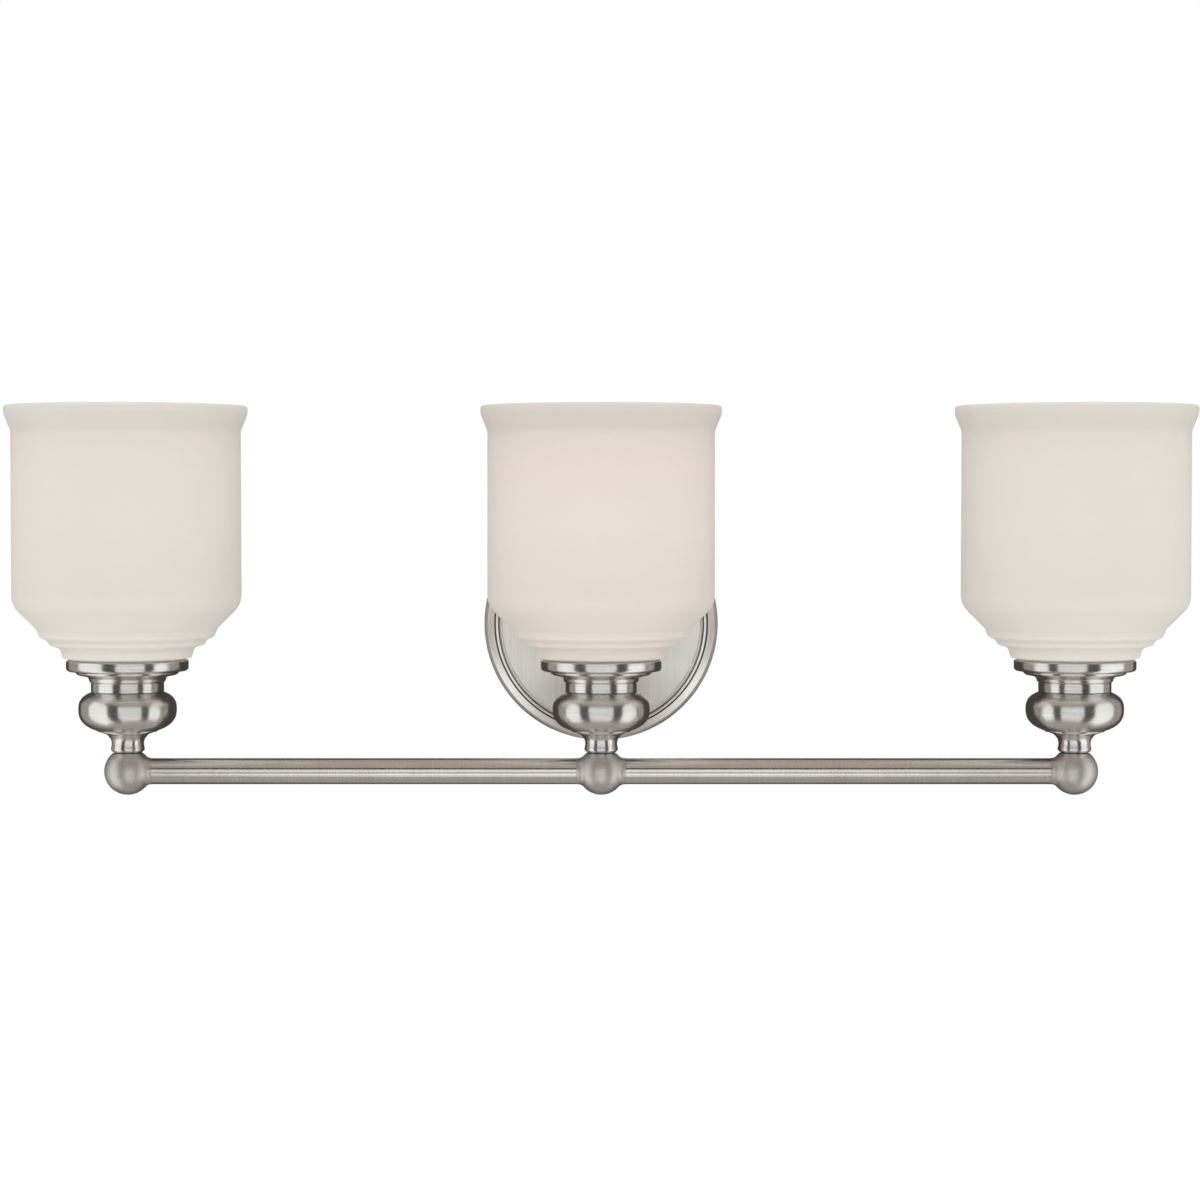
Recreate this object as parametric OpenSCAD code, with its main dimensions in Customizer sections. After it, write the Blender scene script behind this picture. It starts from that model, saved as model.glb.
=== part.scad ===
// Three-lamp vanity light bar with upright opal glass bell shades.
//
// Frame: the origin is the centre of the backplate's rim, on the wall plane. +X runs along the bar,
// +Z is up, and the front faces -Y, so the whole light lies at y <= 0.
// Each lamp is built about its own ball centre, with +Z up its axis, and then put in its place.
// A lathe outline is a list of corners [radius, height, fillet radius].

/* [Layout] */
// Distance between neighbouring lamp axes
lamp_spacing = 243; // [225:1:270]
// Distance from the wall to the bar's axis
bar_out = 103; // [98:1:115]
// Distance from the backplate's centre down to the bar's axis
bar_drop = 72; // [66:1:80]

/* [Backplate] */
// Outer diameter of the backplate
plate_d = 127; // [120:1:140]
// Depth of the backplate, from the wall to its flat front
plate_depth = 22; // [20:0.5:26]
// Width of the backplate's stepped border
border_w = 8.9; // [8:0.1:10]
// Height of the backplate's stepped border
border_h = 12; // [11:0.5:14]
// Sheet thickness of the backplate
plate_sheet = 1.2; // [0.8:0.1:1.6]
// Distance between the two mounting studs
stud_spacing = 70; // [66:0.5:74]
// Diameter of the mounting studs
stud_d = 4.1; // [3.5:0.1:4.4]
// Diameter of the cap nuts
cap_nut_d = 12; // [10:0.5:14]

/* [Mounting strap] */
// Distance between the slots for the outlet box screws
box_screw_spacing = 88.9; // [86:0.1:92]
// Width of each slot
slot_w = 4.8; // [4.4:0.1:5.2]
// Length of each slot, end to end
slot_l = 10; // [8:0.5:11]
// Length of the strap
strap_l = 106; // [104:1:108]
// Height of the strap
strap_h = 16; // [14:0.5:20]
// Thickness of the strap
strap_t = 1.6; // [1.2:0.1:2.4]

/* [Bar and arm] */
// Outer diameter of the bar and arm tubes
tube_d = 13.3; // [13:0.1:13.8]
// Wall of the tubes
tube_wall = 1.3; // [1.2:0.05:1.35]
// Diameter of the balls
ball_d = 24.2; // [23.5:0.1:26]
// Distance from a ball's centre to the end of its hub
hub_reach = 12.5; // [12:0.1:14]
// Radius of the fillet between a ball and its hub
hub_fillet = 4; // [3:0.1:4.2]
// Bend radius of the arm, at the middle of the tube
arm_bend = 27; // [25:0.5:29]
// Diameter of the collar where the arm meets the backplate
arm_collar_d = 32; // [26:0.5:36]
// Height of that collar
arm_collar_h = 7; // [5:0.5:8]

/* [Lamp holder] */
// Height of the ball's flat top above its centre
ball_top = 9.4; // [9:0.1:10]
// Height at which the vase starts
vase_base = 21; // [20:0.1:22]
// Height at which the vase is widest
vase_mid = 32; // [31:0.1:33]
// Largest diameter of the vase
vase_d = 50; // [48:0.5:54]
// Height at which the collar starts
collar_base = 41; // [40.5:0.1:42]
// Diameter of the collar's band
collar_d = 37.4; // [36.4:0.1:38.4]
// Height of the shade cup's underside
cup_base = 51.6; // [51:0.1:53]
// Outer diameter of the shade cup
cup_d = 62.2; // [61:0.1:64]
// Height of the shade cup's rim above its underside
cup_rise = 5.4; // [4.8:0.1:5.6]
// Wall of the cup and of its floor
cup_wall = 1.4; // [1:0.1:1.6]
// Diameter of the threaded nipple through the holder
nipple_d = 10.2; // [10:0.05:10.3]
// Bore of the nipple
nipple_bore = 6.9; // [6.6:0.1:7.2]

/* [Glass shade] */
// Diameter of the shade's flared rim
shade_d = 123.4; // [120:0.1:128]
// Height of the shade from the cup's floor to the rim
shade_h = 134.3; // [126:0.1:145]
// Thickness of the glass
glass_wall = 3; // [2.4:0.1:3.2]
// Diameter of the hole in the shade's bottom
fitter_d = 41.2; // [40.6:0.1:42]
// How far the rim flares beyond the straight wall
rim_flare = 3.4; // [2.5:0.1:4.5]

/* [Socket and lamp] */
// Outer diameter of the socket body
socket_d = 38.4; // [37.6:0.1:38.8]
// Height of the socket body
socket_h = 44; // [42:0.5:48]
// Diameter of the lamp's screw cap
cap_d = 26.2; // [25.8:0.1:26.4]
// Diameter of the lamp's glass
bulb_d = 60; // [56:1:64]
// Length of the lamp from its contact to its crown
bulb_l = 108; // [102:1:112]
// Diameter of the ring that clamps the shade
ring_d = 50.4; // [48:0.2:51]
// Height of that ring
ring_h = 5; // [4:0.5:6]

/* [Wiring] */
// Diameter of an insulated lead
lead_d = 2.2; // [2:0.05:2.25]
// Distance between the black row and the white row of leads
lead_rows = 3; // [2.8:0.05:3.1]
// Distance between neighbouring leads in one row
lead_pitch = 2.5; // [2.4:0.05:2.6]
// Diameter of a wire connector's mouth
connector_d = 12; // [11.5:0.1:13]
// Diameter of the bare ground wire
ground_d = 1.3; // [1:0.1:1.6]

/* [Hidden] */
SIDES = ["left", "centre", "right"];
PER_LAMP = ["bar_ball", "lamp_foot", "lamp_vase", "lamp_collar", "shade_cup", "glass_shade",
            "shade_ring", "socket_body", "screw_shell", "centre_contact", "bulb_glass", "bulb_cap",
            "bulb_base", "black_lead", "white_lead"];

$fn = 96;
// Largest turn between neighbouring points of a round stretch, in degrees
arc_step = 15;
// Radial gap of a screw thread or a push fit
thread_gap = 0.05;
// Radial gap where a rod or wire passes through a hole
pass_gap = 0.12;

// Colours
NICKEL = "#BDB7AE";
STEEL = "#C9CCCE";
BRASS = "#C8A24A";
GLASS = "#EFE8DD";

// Tube and ball
tube_r = tube_d / 2;
tube_bore_r = tube_r - tube_wall;
ball_r = ball_d / 2;
spigot_r = tube_bore_r - thread_gap;
spigot_l = 5;
spigot_bore_r = spigot_r - 1;
ball_wall = 2.6;
ball_cavity_top = 5.5;

// Arm
arm_inner_end = 12;
arm_stub = plate_depth + arm_collar_h + 1.5;
arm_mid = arm_stub + arm_bend;
arm_nut_h = 4;
arm_nut_af = 19;
ring_terminal_t = 0.8;
plate_inner = plate_depth - plate_sheet;
plate_r = plate_d / 2;
face_r = plate_r - border_w;
rim_h = plate_depth - border_h;

// Lamp holder
nipple_r = nipple_d / 2;
nipple_hole_r = nipple_r + pass_gap;
nipple_base = ball_cavity_top + 0.1;
nipple_nut_af = 14.3;
nipple_nut_h = 3;
cup_r = cup_d / 2;
cup_floor = cup_base + cup_wall;
cup_rim = cup_base + cup_rise;

// Socket
socket_r = socket_d / 2;
socket_base = cup_floor;
nut_room_h = nipple_nut_h + 0.4;
thread_floor = socket_base + nut_room_h;
thread_len = 4;
nipple_top = thread_floor + thread_len - 0.4;
terminal_t = 0.8;
lead_top = thread_floor + thread_len + 3.8;
insulator_base = lead_top + terminal_t;
insulator_t = 3;
shell_base = insulator_base + insulator_t;
shell_t = 0.5;
cap_r = cap_d / 2;
shell_bore_r = cap_r + 0.3;
shell_r = shell_bore_r + shell_t;
shell_cavity_r = shell_r + 0.1;
socket_top = socket_base + socket_h;
contact_rise = 3.6;
contact_tail = 4;
shell_tail = 11;
rivet_r = 1.2;

// Lamp
bulb_tip = shell_base + contact_rise;
bulb_r = bulb_d / 2;
bulb_glass_t = 0.8;
bulb_centre = bulb_tip + bulb_l - bulb_r;
neck_r = cap_r - 0.6;
cap_base = bulb_tip + 4.8;
cap_top = bulb_tip + 27;

// Glass
shade_r = shade_d / 2;
shade_wall_r = shade_r - rim_flare;
glass_foot_r = cup_r - cup_wall - 0.4;

// Strap and studs
stud_r = stud_d / 2;
stud_l = plate_depth + 7;
ground_screw_x = 20;
ground_screw_r = 2;
ground_r = ground_d / 2;

// Leads
lead_r = lead_d / 2;
lead_bend = 4;
lead_side_bend = 4.5;
splice_out = arm_inner_end - 0.5 - lead_bend;
connector_mouth = 14;
connector_l = 23;
splice_end = connector_mouth + 16;

// ---------------------------------------------------------------- outlines

function unit(v) = v / norm(v);

function xy(p) = [p[0], p[1]];

function short_turn(a) = a > 180 ? a - 360 : a < -180 ? a + 360 : a;

// Points of an arc about a centre
function arc(centre, r, from, to) =
    let (steps = max(2, ceil(abs(to - from) / arc_step)))
    [for (i = [0:steps]) let (a = from + (to - from) * i / steps) centre + r * [cos(a), sin(a)]];

// The points that round the corner q between its neighbours p and s, limited by its shorter side
function fillet(p, q, s) =
    let (a = xy(p) - xy(q), b = xy(s) - xy(q), u = unit(a), v = unit(b),
         half = acos(max(-1, min(1, u * v))) / 2, r = is_undef(q[2]) ? 0 : q[2])
    r <= 0 || half > 89 || half < 1 ? [xy(q)] :
    let (t = min(r / tan(half), 0.49 * min(norm(a), norm(b))), fit_r = t * tan(half),
         centre = xy(q) + unit(u + v) * fit_r / sin(half),
         start = xy(q) + u * t - centre, end = xy(q) + v * t - centre,
         from = atan2(start[1], start[0]), turn = short_turn(atan2(end[1], end[0]) - from))
    arc(centre, fit_r, from, from + turn);

// A closed outline with each corner rounded by its own fillet radius
function rounded(corners) =
    let (n = len(corners))
    [for (i = [0:n - 1]) each fillet(corners[(i + n - 1) % n], corners[i], corners[(i + 1) % n])];

function left_of(v) = [-v[1], v[0]];

// A corner moved by wall to the left of the path, with the fillet that keeps the wall even
function inset_corner(p, q, s, wall) =
    let (u = unit(xy(q) - xy(p)), v = unit(xy(s) - xy(q)), m = unit(left_of(u) + left_of(v)),
         turn = cross(u, v), at = xy(q) + m * wall / (m * left_of(u)),
         r = is_undef(q[2]) || q[2] == 0 ? 0 : q[2])
    [at[0], at[1], max(0.3, r - sign(turn) * wall)];

// An open path moved by wall to its left
function inset_path(path, wall) =
    let (last = len(path) - 1,
         first_n = left_of(unit(xy(path[1]) - xy(path[0]))),
         last_n = left_of(unit(xy(path[last]) - xy(path[last - 1]))))
    concat([[path[0][0] + wall * first_n[0], path[0][1] + wall * first_n[1], 0]],
           [for (i = [1:last - 1]) inset_corner(path[i - 1], path[i], path[i + 1], wall)],
           [[path[last][0] + wall * last_n[0], path[last][1] + wall * last_n[1], 0]]);

function reversed(list) = [for (i = [len(list) - 1:-1:0]) list[i]];

// A path and its inset as one closed outline, with the far end's lip rounded
function shell_outline(path, wall, lip) =
    let (last = len(path) - 1, inner = inset_path(path, wall))
    concat([for (i = [0:last]) i == last ? [path[i][0], path[i][1], lip] : path[i]],
           [for (i = [last:-1:0]) i == last ? [inner[i][0], inner[i][1], lip] : inner[i]]);

// Radius at height h of a squashed ball of radius r, widest at mid, with its own rise and fullness
function squashed(h, r, mid, rise, power) = r * pow(1 - pow(abs(h - mid) / rise, power), 1 / power);

// ---------------------------------------------------------------- shared solids

module lathe(corners) {
    rotate_extrude() polygon(rounded(corners));
}

module ring(r, bore_r, h) {
    difference() {
        cylinder(r = r, h = h);
        translate([0, 0, -1]) cylinder(r = bore_r, h = h + 2);
    }
}

module hex_nut(across_flats, bore_r, h) {
    difference() {
        cylinder(d = across_flats / cos(30), h = h, $fn = 6);
        translate([0, 0, -1]) cylinder(r = bore_r, h = h + 2);
    }
}

// Puts children whose axes are x, y, z so that they lie along the given directions from a point
module in_frame(x, y, z, at) {
    multmatrix([[x[0], y[0], z[0], at[0]],
                [x[1], y[1], z[1], at[1]],
                [x[2], y[2], z[2], at[2]],
                [0, 0, 0, 1]]) children();
}

// A round rod between two points
module rod(from, to, r) {
    along = unit(to - from);
    side = unit(cross(along, abs(along[2]) > 0.5 ? [1, 0, 0] : [0, 0, 1]));
    in_frame(side, cross(along, side), along, from) cylinder(r = r, h = norm(to - from));
}

function point(p) = [p[0], p[1], p[2]];

// A round rod along a route of points [x, y, z, bend radius], whose corners are all square
module route(points, r) {
    last = len(points) - 1;
    for (i = [0:last - 1]) {
        along = unit(point(points[i + 1]) - point(points[i]));
        rod(point(points[i]) + along * points[i][3], point(points[i + 1]) - along * points[i + 1][3], r);
    }
    for (i = [1:last - 1]) {
        into = unit(point(points[i]) - point(points[i - 1]));
        out = unit(point(points[i + 1]) - point(points[i]));
        bend = points[i][3];
        in_frame(-out, into, cross(into, out), point(points[i]) - into * bend + out * bend)
            rotate_extrude(angle = 90) translate([bend, 0]) circle(r = r);
    }
}

// Turns a solid built along +Z so that it points away from the wall
module off_wall() {
    rotate([90, 0, 0]) children();
}

// The signed number of a lamp along the bar: -1, 0 or 1
function side_of(name) = name == "left" ? -1 : name == "right" ? 1 : 0;

// The turn of a lamp's electrical parts that brings its black lead over +X
function lead_turn(side) = side == 0 ? 90 : side > 0 ? 180 : 0;

module at_lamp(side) {
    translate([side * lamp_spacing, -bar_out, -bar_drop]) children();
}

// ---------------------------------------------------------------- backplate group

// Corners of the backplate's outside, from the rim on the wall to the edge of the centre hole
plate_path = [[plate_r, 0], [plate_r, rim_h, 2.5], [plate_r - 2.5, rim_h + 2.6, 0.8],
              [face_r + 3.1, rim_h + 4.4, 0.4], [face_r + 2.5, rim_h + 5.8, 0.4],
              [face_r + 0.8, rim_h + 6.6, 0.4], [face_r, plate_depth, 1.6],
              [tube_r + pass_gap, plate_depth]];

module backplate() {
    color(NICKEL) off_wall() difference() {
        lathe(shell_outline(plate_path, plate_sheet, 0));
        for (side = [-1, 1]) translate([side * stud_spacing / 2, 0, 0])
            cylinder(r = stud_r + 0.3, h = plate_depth + 1);
    }
}

module mounting_strap() {
    color(STEEL) off_wall() difference() {
        translate([-strap_l / 2, -strap_h / 2, 0]) cube([strap_l, strap_h, strap_t]);
        for (side = [-1, 1]) {
            translate([side * stud_spacing / 2, 0, -1]) cylinder(r = stud_r + thread_gap, h = strap_t + 2);
            translate([side * box_screw_spacing / 2, 0, -1]) {
                for (end = [-1, 1]) translate([end * (slot_l - slot_w) / 2, 0, 0])
                    cylinder(d = slot_w, h = strap_t + 2);
                translate([-(slot_l - slot_w) / 2, -slot_w / 2, 0])
                    cube([slot_l - slot_w, slot_w, strap_t + 2]);
            }
        }
        translate([0, 0, -1]) cylinder(r = nipple_r + thread_gap, h = strap_t + 2);
        translate([ground_screw_x, 0, -1])
            translate([0, -ground_screw_r - ground_r - thread_gap, 0])
            cylinder(r = ground_screw_r + thread_gap, h = strap_t + 2);
    }
}

module mounting_studs() {
    color(STEEL) off_wall() for (side = [-1, 1])
        translate([side * stud_spacing / 2, 0, 0]) cylinder(r = stud_r, h = stud_l);
}

// A cap nut: flange, waist and ball, on a blind thread
module cap_nuts() {
    r = cap_nut_d / 2;
    color(NICKEL) off_wall() for (side = [-1, 1])
        translate([side * stud_spacing / 2, 0, plate_depth])
            lathe([[stud_r + thread_gap, 0], [r, 0, 0.3], [r, 1.8, 0.8], [r - 1.9, 3.2, 0.6],
                   [r - 0.7, 6, 2], [r - 2, 10.4, 2.2], [0, 11.4], [0, 8], [stud_r + thread_gap, 8]]);
}

// The wire lies on the strap beside this screw's shank, clamped under its head
module ground_screw() {
    color("#4E7F52") off_wall()
        translate([ground_screw_x, -ground_screw_r - ground_r - thread_gap, 0]) {
            cylinder(r = ground_screw_r, h = strap_t + ground_d);
            translate([0, 0, strap_t + ground_d]) difference() {
                cylinder(r = ground_screw_r + 2, h = 2.4);
                translate([-ground_screw_r - 3, -0.5, 1.6]) cube([2 * ground_screw_r + 6, 1, 1]);
            }
        }
}

terminal_barrel_x = arm_nut_af / 2 + 6;
terminal_axis_y = plate_inner - ring_terminal_t - ground_r;

module ground_wire() {
    turn_x = ground_screw_x + 8;
    clamp_y = strap_t + ground_r;
    color("#B87348") route([[terminal_barrel_x + 1, -terminal_axis_y, 0, 0],
                            [turn_x, -terminal_axis_y, 0, 2.5],
                            [turn_x, -clamp_y, 0, 2.5],
                            [ground_screw_x - 3, -clamp_y, 0, 0]], ground_r);
}

module ground_terminal() {
    color(STEEL) {
        off_wall() translate([0, 0, plate_inner - ring_terminal_t]) difference() {
            union() {
                cylinder(r = arm_nut_af / 2 + 1.5, h = ring_terminal_t);
                translate([0, -2.2, 0]) cube([terminal_barrel_x + 1, 4.4, ring_terminal_t]);
            }
            translate([0, 0, -1]) cylinder(r = tube_r + pass_gap, h = ring_terminal_t + 2);
        }
        difference() {
            union() {
                translate([terminal_barrel_x, -terminal_axis_y, 0]) rotate([0, 90, 0])
                    cylinder(r = ground_r + 0.7, h = 5);
                translate([terminal_barrel_x, -plate_inner + ring_terminal_t / 2, -1])
                    cube([1, ring_terminal_t, 2]);
            }
            translate([terminal_barrel_x + 1, -terminal_axis_y, 0]) rotate([0, 90, 0])
                cylinder(r = ground_r + thread_gap, h = 5);
            translate([terminal_barrel_x - 1, -plate_depth, -5]) cube([7, plate_sheet, 10]);
        }
    }
}

module arm_collar() {
    bore = tube_r + thread_gap;
    r = arm_collar_d / 2;
    color(NICKEL) off_wall() translate([0, 0, plate_depth])
        lathe([[bore, 0], [r, 0, 0.4], [r, 2, 0.9], [r - 3.4, 3.2, 0.8], [bore + 4, arm_collar_h - 2, 2],
               [bore + 1.6, arm_collar_h, 0.6], [bore, arm_collar_h]]);
}

module arm_lock_nut() {
    color(STEEL) off_wall() translate([0, 0, plate_inner - ring_terminal_t - arm_nut_h])
        hex_nut(arm_nut_af, tube_r + thread_gap, arm_nut_h);
}

// Twist-on connectors, one above the arm for the black leads and one below it for the white ones
module wire_connectors() {
    mouth_r = connector_d / 2;
    room = lead_r + thread_gap;
    color("#D9A441") for (row = [-1, 1])
        translate([0, -splice_out, 0]) rotate([row > 0 ? 0 : 180, 0, 0])
            translate([0, 0, connector_mouth]) difference() {
                union() {
                    lathe([[0, 0], [mouth_r, 0, 0.5], [mouth_r, 4, 1], [mouth_r - 1.6, connector_l, 2],
                           [0, connector_l]]);
                    for (a = [0:60:300]) rotate(a) translate([mouth_r - 2, -0.6, 4])
                        cube([1.5, 1.2, connector_l - 9]);
                }
                for (i = [-1:1]) translate([i * lead_pitch, 0, -1])
                    cylinder(r = room, h = splice_end - connector_mouth + 1.1);
                translate([-lead_pitch, -room, -1])
                    cube([2 * lead_pitch, 2 * room, splice_end - connector_mouth + 1.1]);
            }
}

// ---------------------------------------------------------------- arm and bar

module arm_tube() {
    points = [[0, -arm_inner_end, 0, 0], [0, -arm_mid, 0, arm_bend], [0, -arm_mid, -bar_drop, arm_bend],
              [0, hub_reach - bar_out, -bar_drop, 0]];
    color(NICKEL) difference() {
        route(points, tube_r);
        route(points, tube_bore_r);
    }
}

module bar_tube(side) {
    color(NICKEL) at_lamp(0) translate([side * lamp_spacing / 2, 0, 0]) rotate([0, 90, 0])
        translate([0, 0, hub_reach - lamp_spacing / 2])
        ring(tube_r, tube_bore_r, lamp_spacing - 2 * hub_reach);
}

// Half the outline of a hub along +Z: a fillet that leaves the ball, then a spigot that enters the tube
function hub_outline() =
    let (hub_r = tube_r + 0.1, reach = ball_r + hub_fillet,
         centre_h = sqrt(reach * reach - pow(hub_r + hub_fillet, 2)),
         lift = atan2(centre_h, hub_r + hub_fillet), root = ball_r * [cos(lift), sin(lift)])
    concat([[root[0] - 1.2, root[1] - 1.5], root],
           arc([hub_r + hub_fillet, centre_h], hub_fillet, lift - 180, -180),
           [[hub_r, hub_reach], [spigot_r, hub_reach], [spigot_r, hub_reach + spigot_l]]);

// Hubs on one axis: one along +Z, or a pair along +Z and -Z
module hub(pair) {
    half = hub_outline();
    tip = hub_reach + spigot_l;
    rotate_extrude() polygon(pair
        ? concat([[0, -tip]], [for (p = reversed(half)) [p[0], -p[1]]], half, [[0, tip]])
        : concat([[0, half[0][1]]], half, [[0, tip]]));
}

module bar_ball(side) {
    cavity_r = ball_r - ball_wall;
    bore_l = hub_reach + spigot_l + 1;
    color(NICKEL) at_lamp(side) difference() {
        union() {
            sphere(r = ball_r);
            rotate([0, side > 0 ? -90 : 90, 0]) hub(side == 0);
            if (side == 0) rotate([-90, 0, 0]) hub(false);
        }
        translate([0, 0, ball_top]) cylinder(r = ball_r, h = ball_r);
        intersection() {
            sphere(r = cavity_r);
            translate([0, 0, ball_cavity_top - 2 * ball_r]) cylinder(r = ball_r, h = 2 * ball_r);
        }
        cylinder(r = nipple_r + thread_gap, h = ball_r);
        rotate([0, side > 0 ? -90 : 90, 0]) translate([0, 0, side == 0 ? -bore_l : 0])
            cylinder(r = spigot_bore_r, h = side == 0 ? 2 * bore_l : bore_l);
        if (side == 0) rotate([-90, 0, 0]) cylinder(r = spigot_bore_r, h = bore_l);
    }
}

// ---------------------------------------------------------------- lamp holder

// A flared stem that stands on the ball's flat top and ends in two fine beads under the vase
module lamp_foot(side) {
    color(NICKEL) at_lamp(side)
        lathe([[nipple_hole_r, ball_top], [6.2, ball_top], [6.2, ball_top + 0.5], [7.6, ball_top + 0.6, 0.3],
               [8.5, ball_top + 1.5, 0.6], [8.6, ball_top + 2.4, 1.5], [8.1, ball_top + 4.6, 5],
               [8.5, vase_base - 4.4, 4], [10.6, vase_base - 2, 3], [12, vase_base - 1.4, 0.4],
               [12.8, vase_base - 1.2, 0.3], [13.1, vase_base - 0.7, 0.3], [15.2, vase_base - 0.5, 0.2],
               [15.2, vase_base, 0.2], [nipple_hole_r, vase_base]]);
}

// Wall of the vase
vase_wall = 1.8;
// Rise of the vase's rounding above and below its widest height
vase_rise = 10.9;
vase_fall = 12.7;
vase_steps = 9;

function vase_outer(h) = h > vase_mid ? squashed(h, vase_d / 2, vase_mid, vase_rise, 2.7)
                                      : squashed(h, vase_d / 2, vase_mid, vase_fall, 2.5);

module lamp_vase(side) {
    lower = [for (i = [0:vase_steps]) vase_base + (vase_mid - vase_base) * sin(90 * i / vase_steps)];
    upper = [for (i = [1:vase_steps]) vase_mid + (collar_base - vase_mid) * i / vase_steps];
    heights = concat(lower, upper);
    inner_heights = [for (h = heights) if (h > vase_base + vase_wall) h];
    color(NICKEL) at_lamp(side) rotate_extrude() polygon(concat(
        [[nipple_hole_r, vase_base]],
        [for (h = heights) [vase_outer(h), h]],
        [for (h = reversed(inner_heights)) [vase_outer(h) - vase_wall, h]],
        [[nipple_hole_r, vase_base + vase_wall]]));
}

// A band, a cove and a bead, hollow inside
module lamp_collar(side) {
    r = collar_d / 2;
    wall = 1.6;
    bead_r = r + 7.7;
    color(NICKEL) at_lamp(side)
        lathe([[r - wall, collar_base], [r, collar_base, 0.3], [r, collar_base + 4.8, 0.3],
               [r + 0.7, collar_base + 5.3, 0.4], [r + 1.4, cup_base - 3, 3],
               [bead_r - 1.4, cup_base - 2, 0.4], [bead_r, cup_base - 1.1, 0.6],
               [bead_r - 0.4, cup_base, 0.3], [r - wall, cup_base]]);
}

// A turned pan with a short upright rim; its floor is clamped between the collar and the nipple's nut
module shade_cup(side) {
    color(NICKEL) at_lamp(side)
        lathe([[nipple_hole_r, cup_base], [cup_r, cup_base, 1.8], [cup_r, cup_rim, 0.5],
               [cup_r - cup_wall, cup_rim, 0.4], [cup_r - cup_wall, cup_floor, 0.4],
               [nipple_hole_r, cup_floor]]);
}

module lamp_nipples() {
    color(STEEL) for (side = [-1:1]) at_lamp(side) translate([0, 0, nipple_base])
        ring(nipple_r, nipple_bore / 2, nipple_top - nipple_base);
}

module nipple_nuts() {
    color(STEEL) for (side = [-1:1]) at_lamp(side) translate([0, 0, cup_floor])
        hex_nut(nipple_nut_af, nipple_r + thread_gap, nipple_nut_h);
}

// ---------------------------------------------------------------- glass shade

// Corners of the glass outside, from the fitter hole out and up to the flared rim. Heights count
// from the cup's floor. The glass bulges over the cup's rim, and three rounded ribs step out from there.
glass_path = [[fitter_d / 2, 0], [glass_foot_r, 0, 0.8], [glass_foot_r, 4.5, 0.4],
              [glass_foot_r + 3.6, 5.6, 1.2], [glass_foot_r + 4.5, 9.4, 1.2], [glass_foot_r + 5.8, 10.8, 0.8],
              [glass_foot_r + 10, 12, 2], [glass_foot_r + 11.3, 14.4, 1.2], [glass_foot_r + 15.1, 16.2, 2.4],
              [glass_foot_r + 16.6, 20.2, 2.5], [shade_wall_r, 17 + shade_wall_r - glass_foot_r - 13.4, 12],
              [shade_wall_r - 0.1, shade_h - 13, 6], [shade_r, shade_h - 4.2, 4], [shade_r, shade_h]];

module glass_shade(side) {
    color(GLASS) at_lamp(side) translate([0, 0, cup_floor])
        lathe(shell_outline(glass_path, glass_wall, 1.2));
}

// A notched ring on the socket's outside thread that clamps the glass floor on the cup
module shade_ring(side) {
    color("#E8E6E0") at_lamp(side) translate([0, 0, cup_floor + glass_wall]) difference() {
        lathe([[socket_r + thread_gap, 0], [ring_d / 2, 0, 0.4], [ring_d / 2, ring_h - 1, 0.5],
               [ring_d / 2 - 1.5, ring_h, 0.5], [socket_r + thread_gap, ring_h]]);
        for (a = [0:30:330]) rotate(a) translate([ring_d / 2 + 0.6, 0, -1]) cylinder(r = 1.4, h = ring_h + 2);
    }
}

// ---------------------------------------------------------------- socket

// Room for the nut below, a thread for the nipple, a terminal chamber, a floor, and the shell's bore
module socket_body(side) {
    chamber_r = 13.5;
    color("#F2EFE8") at_lamp(side) rotate(lead_turn(side)) difference() {
        lathe([[9, socket_base], [socket_r - 1.6, socket_base, 0.4], [socket_r - 1.6, socket_base + 1.5, 0],
               [socket_r, socket_base + 2.4, 0.3], [socket_r, socket_base + 22, 0.4],
               [socket_r - 1.4, socket_base + 23.4, 0.4], [socket_r - 1.4, socket_top, 1],
               [shell_cavity_r, socket_top, 0.5], [shell_cavity_r, shell_base], [0, shell_base],
               [0, insulator_base], [chamber_r, insulator_base], [chamber_r, thread_floor + thread_len],
               [nipple_r + thread_gap, thread_floor + thread_len], [nipple_r + thread_gap, thread_floor],
               [9, thread_floor]]);
        for (x = [contact_tail, -shell_tail]) translate([x, 0, insulator_base - 1])
            cylinder(r = rivet_r + thread_gap, h = insulator_t + 2);
    }
}

// A terminal under the insulating floor, from x_a to x_b, with the rivet that joins it to the part above
module terminal(x_a, x_b, rivet_x) {
    translate([x_a, -2, lead_top]) cube([x_b - x_a, 4, terminal_t]);
    translate([rivet_x, 0, insulator_base]) cylinder(r = rivet_r, h = insulator_t);
}

module screw_shell(side) {
    color(BRASS) at_lamp(side) rotate(lead_turn(side)) {
        translate([0, 0, shell_base]) {
            ring(shell_r, shell_bore_r, socket_top - 2 - shell_base);
            ring(shell_r, 9, shell_t);
        }
        terminal(-shell_tail - 1.5, -0.5, -shell_tail);
    }
}

// A leaf spring that the lamp's contact presses on
module centre_contact(side) {
    t = 0.6;
    color(BRASS) at_lamp(side) rotate(lead_turn(side)) {
        translate([0, 0, shell_base]) rotate([90, 0, 0]) translate([0, 0, -3])
            linear_extrude(height = 6)
            polygon([[-4, 0], [6, 0], [6, t], [-2.6, t], [1.4, contact_rise - t], [4.5, contact_rise - t],
                     [4.5, contact_rise], [1.1, contact_rise], [-4, t + 0.4]]);
        terminal(0.5, contact_tail + 1.5, contact_tail);
    }
}

// ---------------------------------------------------------------- lamp

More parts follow.
